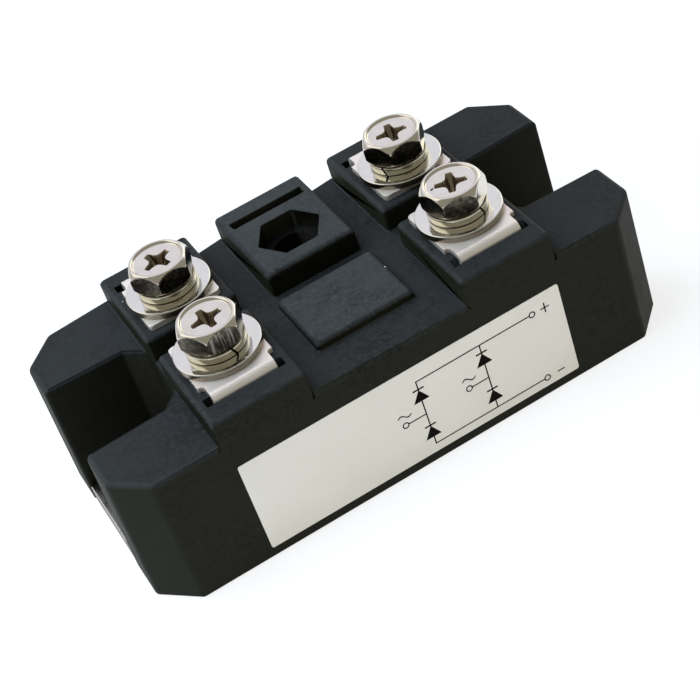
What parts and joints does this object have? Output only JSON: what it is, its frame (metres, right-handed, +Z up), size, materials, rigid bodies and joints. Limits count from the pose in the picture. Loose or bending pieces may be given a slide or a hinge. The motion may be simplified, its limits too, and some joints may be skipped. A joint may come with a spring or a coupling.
{
  "type": "bridge rectifier module",
  "caption": "Single-phase bridge rectifier module: black moulded case with screw terminals on raised pedestals, end recesses for mounting screws, and a metal base plate.",
  "frame": {"origin": "centre of the footprint on the mounting face of the base plate", "axes": "+X along the case's length, -Y towards the labelled face, +Z up from the mounting face to the terminals"},
  "size_m": [0.08, 0.0401, 0.0313],
  "materials": {
    "moulding": "fine matt moulded texture, blue-black",
    "base_metal": "bright nickel-plated plate",
    "label_film": "pale warm grey satin film with black print",
    "tab_plating": "bright nickel plating over copper",
    "screw_plating": "bright nickel plating",
    "spring_plating": "bright nickel plating",
    "washer_plating": "bright nickel plating, mirror-like",
    "nut_plating": "zinc plating",
    "alumina": "fired, unglazed",
    "bare_copper": "bare copper, satin",
    "silicon": "dark satin",
    "potting": "cast compound, satin"
  },
  "bodies": {
    "root": {"case": "moulding", "base_plate": "base_metal", "label": "label_film", "tab_front_left": "tab_plating", "tab_front_right": "tab_plating", "tab_back_left": "tab_plating", "tab_back_right": "tab_plating", "screw_front_left": "screw_plating", "screw_front_right": "screw_plating", "screw_back_left": "screw_plating", "screw_back_right": "screw_plating", "spring_washer_front_left": "spring_plating", "spring_washer_front_right": "spring_plating", "spring_washer_back_left": "spring_plating", "spring_washer_back_right": "spring_plating", "flat_washer_front_left": "washer_plating", "flat_washer_front_right": "washer_plating", "flat_washer_back_left": "washer_plating", "flat_washer_back_right": "washer_plating", "nut_front_left": "nut_plating", "nut_front_right": "nut_plating", "nut_back_left": "nut_plating", "nut_back_right": "nut_plating", "ceramic_insulator": "alumina", "copper_pad_front_left": "bare_copper", "copper_pad_front_right": "bare_copper", "copper_pad_back_left": "bare_copper", "copper_pad_back_right": "bare_copper", "diode_chip_back": "silicon", "diode_chip_right": "silicon", "diode_chip_left": "silicon", "diode_chip_front": "silicon", "jumper_back": "bare_copper", "jumper_right": "bare_copper", "jumper_left": "bare_copper", "jumper_front": "bare_copper", "potting_compound": "potting"}
  },
  "joints": []
}
